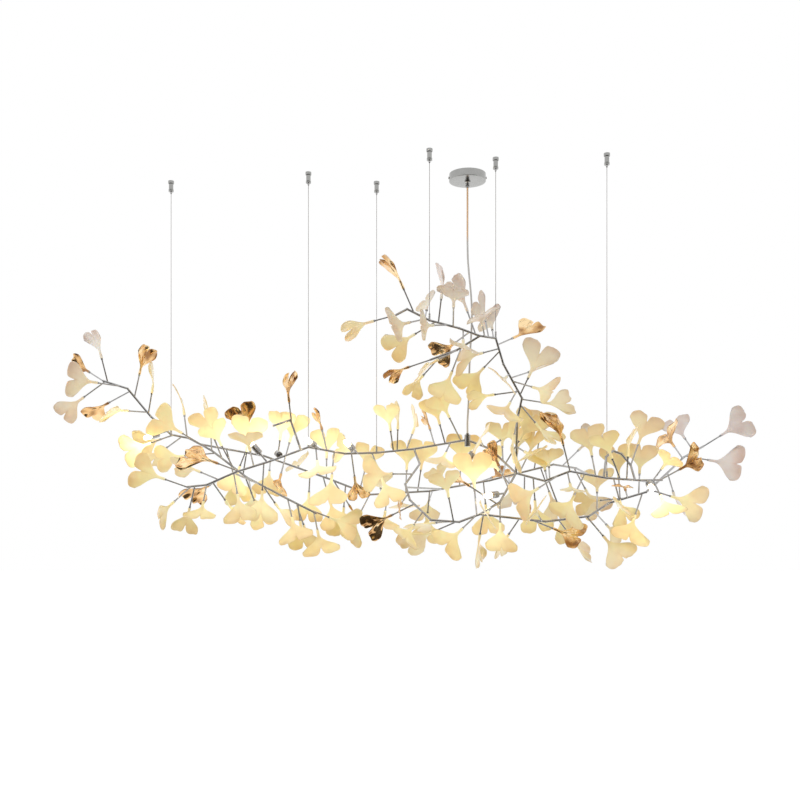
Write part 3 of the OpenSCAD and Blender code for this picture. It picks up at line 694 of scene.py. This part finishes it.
lower_leaves = [
    (0.6, 100, -110, -980, 70, 0.8), (1.3, 268, -92, -990, 60, 0.9), (1.95, 345, -120, -985, 5, 1.0),
    (2.3, 365, -62, -955, 25, 0.85), (3.9, 430, -110, -930, 0, 1.1), (3.2, 380, -140, -905, 15, 0.85),
    (2.4, 345, -40, -868, 20, 1.0), (3.8, 455, -55, -820, 5, 1.0), (3.3, 395, -75, -830, 20, 1.0),
    (4.3, 530, -85, -880, 0, 1.05), (0.95, 165, -188, -930, 0, 1.0), (3.45, 350, -55, -890, 20, 0.8),
]
lower_gold = [
    (0.8, 210, -150, -965, 25, 0.95), (3.5, 400, -130, -865, 60, 0.6),
]
top_leaves = [
    (1.85, -160, -220, -450, 0, 1.0), (0.0, -250, -190, -440, 70, 1.0), (2.2, -145, -150, -465, 45, 1.0),
    (2.6, -100, -210, -455, 10, 0.85), (1.8, -115, -132, -400, 60, 0.8), (2.3, -80, -195, -385, 75, 1.0),
    (2.8, -50, -215, -410, 15, 0.9), (3.8, -10, -140, -405, 60, 1.1), (4.3, 25, -185, -450, 0, 0.95),
    (4.55, 40, -98, -420, 70, 0.9), (6.3, 92, -130, -572, 0, 1.1), (6.9, 152, -100, -570, 5, 1.15),
    (6.4, 160, -55, -548, 80, 0.95), (6.8, 65, -85, -612, 60, 0.85), (6.75, 100, -140, -640, 0, 1.05),
    (7.7, 115, -105, -720, 70, 1.1), (7.3, 172, -95, -688, 50, 0.95), (7.05, 195, -65, -630, 35, 1.0),
    (5.5, 38, -82, -540, 20, 1.0), (3.2, -25, -200, -490, 10, 0.9), (6.5, 158, -140, -600, 20, 0.9),
    (8.5, 140, -120, -765, 10, 0.95), (5.4, 30, -130, -510, 50, 1.0), (4.85, 60, -80, -440, 60, 1.0),
]
top_gold = [
    (1.3, -175, -195, -360, 75, 1.1), (3.5, -40, -110, -480, 10, 0.85), (5.25, 112, -95, -465, 50, 1.0),
]
drop_leaves = [
    (1.6, -122, -80, -560, 55, 0.8), (1.0, -85, -145, -530, 75, 1.0), (0.8, -50, -135, -560, 10, 1.0),
]
drop_gold = [
    (2.0, -160, -90, -540, 75, 0.8),
]
back_leaves = [
    (1.3, -500, 130, -720, 10, 1.0), (3.0, -300, 90, -930, 40, 1.0), (3.3, -225, 60, -918, 0, 1.0),
    (3.6, -165, 125, -800, 10, 1.0), (4.0, -105, 125, -922, 5, 1.0), (4.5, -10, 130, -785, -5, 1.05),
    (4.9, 60, 122, -897, 0, 1.0), (5.4, 150, 125, -752, 10, 1.0), (5.8, 240, 112, -862, -10, 1.0),
    (6.4, 320, 95, -745, 10, 0.95), (6.9, 330, 50, -855, 10, 1.0), (1.95, -395, 145, -765, 15, 1.0),
    (2.4, -345, 135, -905, 0, 1.0), (0.4, -655, 98, -812, 10, 1.0), (1.7, -445, 138, -862, 0, 1.0),
    (2.75, -285, 140, -800, 0, 0.95), (1.1, -560, 150, -800, 10, 1.0), (3.8, -125, 100, -800, 20, 1.0),
    (1.9, -385, 125, -885, 10, 1.0), (3.45, -185, 75, -885, 20, 0.95), (0.7, -635, 90, -790, 15, 0.95),
    (5.7, 210, 100, -715, 20, 0.95), (1.2, -525, 110, -715, 10, 0.95), (4.05, -100, 150, -885, 15, 1.0),
    (3.2, -240, 170, -850, 0, 1.0), (5.3, 135, 170, -850, 0, 1.0), (4.3, -60, 170, -825, 10, 0.95),
    (1.5, -480, 175, -785, 20, 1.0),
]
back_gold = [
    (0.9, -610, 110, -695, 10, 1.0), (4.8, 80, 150, -820, 50, 0.8), (2.1, -330, 150, -900, 85, 0.8),
]

# A leaf of size 1, in millimetres: the round neck with the stem's bore, then the bent and flaring blade.
NECK_RADIUS = 3.8
WAIST_RADIUS = 3.5
BORE_RADIUS = 2.1
BORE_DEPTH = 12
NECK_END = 12
BEND_RADIUS = 160
BLADE_START = 14
FLARE_END = 58
LOBE_HALF_WIDTH = 50
LOBE_REACH = 86
TIP_REACH = 55
NOTCH_BOTTOM = 61
LEAF_WALL = 3.0
RIM_THINNING = 0.9
# Shares of the half width: where a lobe reaches furthest, and how wide the slit of the notch is. Then how
# full a lobe's outer and inner curves are: 2 is an ellipse, and more is squarer.
LOBE_MIDDLE = 0.46
SLIT_WIDTH = 0.1
OUTER_FULLNESS = 2.4
INNER_FULLNESS = 3.2
# Shares of the blade's length, over which the round neck turns flat.
FLAT_FROM = 0.02
FLAT_OVER = 0.26
# The folds of a crumpled leaf: height, turns across and along it, and how often its phase counts.
FOLDS = [(1.6, 11, 0.16, 1), (1.0, 23, -0.21, 2)]
# The mesh: the bore and neck as (place along, radius), and the blade's rows as shares of its length.
NECK_ROWS = [(BORE_DEPTH, 0.3), (BORE_DEPTH, BORE_RADIUS), (0, BORE_RADIUS), (-0.1, 2.8),
             (0.4, NECK_RADIUS), (5, NECK_RADIUS), (10, NECK_RADIUS - 0.2)]
BLADE_ROWS = [0.12, 0.24, 0.36, 0.48, 0.60, 0.71, 0.81, 0.90, 0.97, 1.0]
PLACES_ACROSS = 20
SLOPE_STEP = 0.02
# How far a lamp's painted glow on the porcelain reaches, as an area in square metres, and how strong it is
# close by.
PAINTED_GLOW_AREA = 0.014
PAINTED_GLOW_STRENGTH = 0.8


def smooth_step(x):
    x = max(0.0, min(1.0, x))
    return x * x * (3 - 2 * x)


def leaf_whims(number, crumple):
    """What differs from leaf to leaf: its bends, ripples and notch, drawn by its number."""
    dice = random.Random(number)
    return {
        "left_lift": dice.uniform(-8, 10), "right_lift": dice.uniform(-8, 10), "cup": dice.uniform(-2, 8),
        "dish": dice.uniform(-4.5, 3), "twist": dice.uniform(-0.1, 0.1),
        "waves": dice.uniform(1.0, 2.0), "phase": dice.uniform(0, 6.3),
        "ripple": dice.uniform(0.8, 2.4) + crumple * 2.5, "notch": dice.uniform(-7, 6),
        "scallop_depth": dice.uniform(0.4, 1.6), "scallops": dice.choice((2, 2, 3, 4)),
        "crumple": crumple,
    }


def rim_reach(across, whims):
    """How far along the leaf its rim lies, at a place across it from -1 to 1."""
    place = min(1.0, abs(across))
    if place > LOBE_MIDDLE:
        base, fullness, away = TIP_REACH, OUTER_FULLNESS, (place - LOBE_MIDDLE) / (1 - LOBE_MIDDLE)
    else:
        base, fullness, away = NOTCH_BOTTOM, INNER_FULLNESS, 1 - place / LOBE_MIDDLE
    reach = base + (LOBE_REACH - base) * (1 - away ** fullness) ** (1 / fullness)
    reach += whims["notch"] * math.exp(-((across / SLIT_WIDTH) ** 2))
    scallop = 1 + math.cos(math.tau * whims["scallops"] * across + whims["phase"])
    return reach - whims["scallop_depth"] * scallop


def blade_height(x, across, share, whims):
    """How far the blade's middle rises off the stem's line."""
    bend = BEND_RADIUS - math.sqrt(BEND_RADIUS ** 2 - (x - NECK_END) ** 2)
    lift = whims["left_lift"] + (whims["right_lift"] - whims["left_lift"]) * smooth_step(across + 0.5)
    rise = bend + (lift * across * across + whims["cup"] * across ** 4) * share * share
    rise += whims["dish"] * math.sin(math.pi * min(1.0, abs(across))) ** 2 * share ** 3
    rise += whims["twist"] * across * LOBE_HALF_WIDTH * share
    rise += whims["ripple"] * share ** 3 * math.sin(math.tau * whims["waves"] * across + whims["phase"])
    folds = sum(height * math.sin(crosswise * across + lengthwise * x + phases * whims["phase"])
                for height, crosswise, lengthwise, phases in FOLDS)
    return rise + whims["crumple"] * smooth_step(share * 2) * folds


def blade_point(share, across, whims):
    """The middle of the wall at a share of the way from the neck to the rim."""
    x = BLADE_START + (rim_reach(across, whims) - BLADE_START) * share
    flare = max(0.0, min(x, FLARE_END) - BLADE_START) / (FLARE_END - BLADE_START)
    half_width = NECK_RADIUS + LOBE_HALF_WIDTH * flare ** 2
    return Vector((x, across * half_width, blade_height(x, across, share, whims)))


def leaf_shape(size, whims):
    """One leaf as a bmesh, its socket's mouth at the origin and its blade along +X, in metres."""
    rows = len(NECK_ROWS) + len(BLADE_ROWS)
    around = 2 * PLACES_ACROSS
    shape = bmesh.new()
    rimward = shape.verts.layers.float.new("rimward")
    bmesh.ops.create_grid(shape, x_segments=rows - 1, y_segments=around, size=0.5)
    for vertex in shape.verts:
        row = round((vertex.co.x + 0.5) * (rows - 1))
        # turn goes from 0 to 2 over the leaf's face and on to 4 over its back, and t from edge to edge
        turn = 4 * round((vertex.co.y + 0.5) * around) / around
        side, t = (1, turn - 1) if turn <= 2 else (-1, 3 - turn)
        ring = Vector((0, math.sin(t * math.pi / 2), side * math.cos(t * math.pi / 2)))
        if row < len(NECK_ROWS):
            x, radius = NECK_ROWS[row]
            vertex.co = (Vector((x * size, 0, 0)) + ring * radius) * MM
            continue
        share = vertex[rimward] = BLADE_ROWS[row - len(NECK_ROWS)]
        # the mesh is closer together at the notch than at the tips
        across = t * (0.5 + 0.9 * t * t - 0.4 * t ** 4)
        middle = blade_point(share, across, whims)
        ahead = (blade_point(share + SLOPE_STEP, across, whims)
                 - blade_point(share - SLOPE_STEP, across, whims))
        beside = (blade_point(share, across + SLOPE_STEP, whims)
                  - blade_point(share, across - SLOPE_STEP, whims))
        wall = 0 if share == 1 else (LEAF_WALL - RIM_THINNING * share) * math.sqrt(1 - abs(t) ** 8)
        flat = middle + ahead.cross(beside).normalized() * side * wall / 2
        neck = Vector((middle.x * size, 0, 0)) + ring * WAIST_RADIUS
        vertex.co = neck.lerp(flat * size, smooth_step((share - FLAT_FROM) / FLAT_OVER)) * MM
    bmesh.ops.remove_doubles(shape, verts=shape.verts, dist=1e-6)
    bmesh.ops.holes_fill(shape, edges=[e for e in shape.edges if e.is_boundary])
    bmesh.ops.recalc_face_normals(shape, faces=shape.faces)
    return shape


def leaf_group(name, sets, material, crumple, first):
    """A piece that holds all the leaves of one node, with the painted lamp glow that each spot gets from the
    lamps near it.
    """
    shape = bmesh.new()
    places = [(path, row) for path, rows in sets for row in rows]
    for number, (path, row) in enumerate(places, first):
        leaf = leaf_shape(row[5], leaf_whims(number, crumple))
        copy_at(shape, leaf, stand(path, row, row[4]))
        leaf.free()
    # painted light: the nearer a spot lies to the lamps, the more of their glow is painted into it
    painted_lamp_glow = shape.verts.layers.float.new("painted_lamp_glow")
    for vertex in shape.verts:
        reach = [(vertex.co - point).length_squared for point in glow_points]
        vertex[painted_lamp_glow] = min(1.0, sum(PAINTED_GLOW_AREA / (d + PAINTED_GLOW_AREA) for d in reach) * PAINTED_GLOW_STRENGTH)
    piece = new_piece(name, shape, material)
    finer = piece.modifiers.new("rounded_edges", "SUBSURF")
    finer.levels = finer.render_levels = 1
    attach(piece, "frame")
    return piece


def porcelain_material():
    material, nodes, links, shader = new_material("glazed_porcelain", (0.93, 0.88, 0.82), roughness=0.28)
    # painted light: the colour runs from pinkish grey far from the lamps to warm yellow near them, as their
    # glow would make it
    lit = nodes.new("ShaderNodeAttribute")
    lit.attribute_name = "painted_lamp_glow"
    body = ramp(nodes, links, lit.outputs["Fac"], (0.21, (0.88, 0.82, 0.80)), (0.36, (0.98, 0.86, 0.62)),
                (0.5, (0.99, 0.85, 0.48)), (0.85, (0.99, 0.88, 0.56)))
    # painted shade: each blade turns pinker and darker towards its rim
    rim = nodes.new("ShaderNodeAttribute")
    rim.attribute_name = "rimward"
    painted_rim_shade = ramp(nodes, links, rim.outputs["Fac"], (0.3, (1.0, 1.0, 1.0)), (0.75, (0.97, 0.93, 0.90)),
                 (1.0, (0.86, 0.76, 0.70)))
    cloud = noise(nodes, links, 45, 3.0)
    mottle = ramp(nodes, links, cloud, (0.3, (0.95, 0.94, 0.93)), (0.7, (1.0, 1.0, 1.0)))
    # painted shade: broad random patches are made pinker and darker, standing in for the shaded zones of the
    # leaves
    shade_patches = noise(nodes, links, 14, 2.0)
    depth = ramp(nodes, links, shade_patches, (0.38, (0.90, 0.82, 0.79)), (0.56, (1.0, 1.0, 1.0)))
    shade = multiplied(nodes, links, painted_rim_shade, multiplied(nodes, links, mottle, depth))
    links.new(multiplied(nodes, links, body, shade), shader.inputs["Base Color"])
    # painted glow: the porcelain near the lamps gives off light itself, though it is no lamp
    links.new(ramp(nodes, links, lit.outputs["Fac"], (0.24, (0.0, 0.0, 0.0)), (0.4, (0.09, 0.075, 0.03)),
                   (0.6, (0.10, 0.08, 0.02)), (1.0, (0.20, 0.17, 0.07))), shader.inputs["Emission Color"])
    shader.inputs["Emission Strength"].default_value = 1.0
    shader.inputs["Coat Weight"].default_value = 0.8
    shader.inputs["Coat Roughness"].default_value = 0.14
    shader.inputs["Subsurface Weight"].default_value = 0.35
    shader.inputs["Subsurface Radius"].default_value = (1.0, 0.75, 0.5)
    shader.inputs["Subsurface Scale"].default_value = 0.006
    bump(nodes, links, shader, noise(nodes, links, 120, 2.0), 0.0006)
    return material


def gilt_material():
    material, nodes, links, shader = new_material("gold_lustre", (0.86, 0.58, 0.28), 1.0, 0.18)
    # partly painted reflection: broad patches run from dark brown to pale gold, for uneven gilding and for
    # the dark and bright reflections of the gilt
    gilding_and_painted_reflection = noise(nodes, links, 28, 1.0)
    links.new(ramp(nodes, links, gilding_and_painted_reflection, (0.34, (0.36, 0.18, 0.07)), (0.50, (0.80, 0.50, 0.23)),
                   (0.66, (1.0, 0.76, 0.44))), shader.inputs["Base Color"])
    links.new(rescale(nodes, links, noise(nodes, links, 60, 2.0), 0.10, 0.26), shader.inputs["Roughness"])
    bump(nodes, links, shader, noise(nodes, links, 38, 1.0), 0.002)
    return material


porcelain = porcelain_material()
gilt = gilt_material()
WHITE_LEAVES = {
    "leaves_left": [(LEFT_ARM, left_leaves)],
    "leaves_middle": [(MIDDLE_BEAM, middle_leaves)],
    "leaves_centre": [(FRONT_LOOP, front_leaves)],
    "leaves_right": [(RIGHT_BEAM, right_leaves), (RIGHT_LOOP, loop_leaves), (RIGHT_ARM, arm_leaves)],
    "leaves_lower": [(LOWER_BEAM, lower_leaves)],
    "leaves_top": [(TOP_SPRAY, top_leaves), (SPRAY_DROP, drop_leaves)],
    "leaves_back": [(BACK_BEAM, back_leaves)],
}
GOLD_LEAVES = {
    "gold_leaves_left": [(LEFT_ARM, left_gold), (MIDDLE_BEAM, middle_gold), (LEFT_SPUR, spur_gold)],
    "gold_leaves_centre": [(FRONT_LOOP, front_gold), (BACK_BEAM, back_gold)],
    "gold_leaves_right": [(RIGHT_BEAM, right_gold), (RIGHT_ARM, arm_gold), (LOWER_BEAM, lower_gold)],
    "gold_leaves_top": [(TOP_SPRAY, top_gold), (SPRAY_DROP, drop_gold)],
}
# Leaves are numbered from 1, and each node starts a new hundred.
first = 1
for groups, finish, crumple, slot_name in ((WHITE_LEAVES, porcelain, 0.0, "porcelain"),
                                           (GOLD_LEAVES, gilt, 1.0, "gilt_porcelain")):
    for node, sets in groups.items():
        piece = leaf_group(node + "_cast", sets, finish, crumple, first)
        first += 100
        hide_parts(node)


# The studio: a pale floor a storey below, a plain white background, and soft light from the front and
# above. Dark cards, which the camera doesn't see, give the metal something to mirror.
def seen_directly(nodes, links):
    """1 for rays from the camera, a mirror or glass, and 0 for the rays that light the object."""
    rays = nodes.new("ShaderNodeLightPath").outputs
    seen = computed(nodes, links, "MAXIMUM", rays["Is Camera Ray"], rays["Is Glossy Ray"])
    return computed(nodes, links, "MAXIMUM", seen, rays["Is Transmission Ray"])


# The floor looks white and still takes the object's shadow: its glow is added where it is seen directly.
FLOOR_LEVEL = -2.6
floor_shape = bmesh.new()
bmesh.ops.create_grid(floor_shape, x_segments=1, y_segments=1, size=30)
bmesh.ops.translate(floor_shape, verts=floor_shape.verts, vec=(0, 0, FLOOR_LEVEL))
floor_material, floor_nodes, floor_links, floor_shader = new_material("pale_floor", (0.92, 0.92, 0.92))
floor = new_piece("floor", floor_shape, floor_material, smooth=False)
floor_glow = floor_nodes.new("ShaderNodeEmission")
floor_glow.inputs["Color"].default_value = (0.60, 0.60, 0.60, 1)
added = floor_nodes.new("ShaderNodeAddShader")
floor_links.new(floor_shader.outputs["BSDF"], added.inputs[0])
floor_links.new(floor_glow.outputs["Emission"], added.inputs[1])
choice = floor_nodes.new("ShaderNodeMixShader")
floor_links.new(seen_directly(floor_nodes, floor_links), choice.inputs["Fac"])
floor_links.new(floor_shader.outputs["BSDF"], choice.inputs[1])
floor_links.new(added.outputs["Shader"], choice.inputs[2])
floor_links.new(choice.outputs["Shader"], floor_nodes["Material Output"].inputs["Surface"])

# The world is white where it is seen directly, and lights the object at half that.
world = bpy.data.worlds.new("studio")
bpy.context.scene.world = world
world.use_nodes = True
sky, sky_links = world.node_tree.nodes, world.node_tree.links
plain = sky["Background"]
plain.inputs["Color"].default_value = (1, 1, 1, 1)
plain.inputs["Strength"].default_value = 0.50
white = sky.new("ShaderNodeBackground")
white.inputs["Color"].default_value = (1, 1, 1, 1)
white.inputs["Strength"].default_value = 1.0
mixed = sky.new("ShaderNodeMixShader")
sky_links.new(seen_directly(sky, sky_links), mixed.inputs["Fac"])
sky_links.new(plain.outputs["Background"], mixed.inputs[1])
sky_links.new(white.outputs["Background"], mixed.inputs[2])
sky_links.new(mixed.outputs["Shader"], sky["World Output"].inputs["Surface"])

FOLIAGE_MIDDLE = (0, 0, -0.75)


def soft_light(name, place, size, power):
    """A large soft lamp aimed at the middle of the foliage."""
    lamp = bpy.data.lights.new(name, "AREA")
    lamp.shape = "RECTANGLE"
    lamp.size, lamp.size_y = size
    lamp.energy = power
    light = bpy.data.objects.new(name, lamp)
    light.location = place
    light.rotation_mode = "QUATERNION"
    light.rotation_quaternion = (Vector(FOLIAGE_MIDDLE) - Vector(place)).to_track_quat("-Z", "Y")
    light.visible_camera = False
    light.visible_glossy = False
    bpy.context.scene.collection.objects.link(light)


soft_light("key_light", (-2.2, -2.6, 0.6), (2.2, 1.4), 42)
soft_light("fill_light", (2.4, -2.2, -0.6), (2.0, 1.6), 13)

# Both cards start from one line just above the floor, behind the camera, given as (y, z).
CARD_HALF_WIDTH = 5
CARD_FOLD = (-3.4, -2.5)
dark = new_material("black_card", (0.10, 0.09, 0.08), roughness=1.0)[0]


def dark_card(name, edge):
    """A dark card that only mirror rays see, for the metal and the glaze to reflect."""
    corners = [(-CARD_HALF_WIDTH, *CARD_FOLD), (CARD_HALF_WIDTH, *CARD_FOLD),
               (CARD_HALF_WIDTH, *edge), (-CARD_HALF_WIDTH, *edge)]
    shape = bmesh.new()
    shape.faces.new([shape.verts.new(corner) for corner in corners])
    card = new_piece(name, shape, dark, smooth=False)
    card.visible_camera = card.visible_diffuse = card.visible_shadow = card.visible_transmission = False


dark_card("card_behind_the_camera", (-3.4, 0.3))
dark_card("card_on_the_floor", (-0.6, -2.5))
bpy.context.scene.view_settings.view_transform = "Standard"
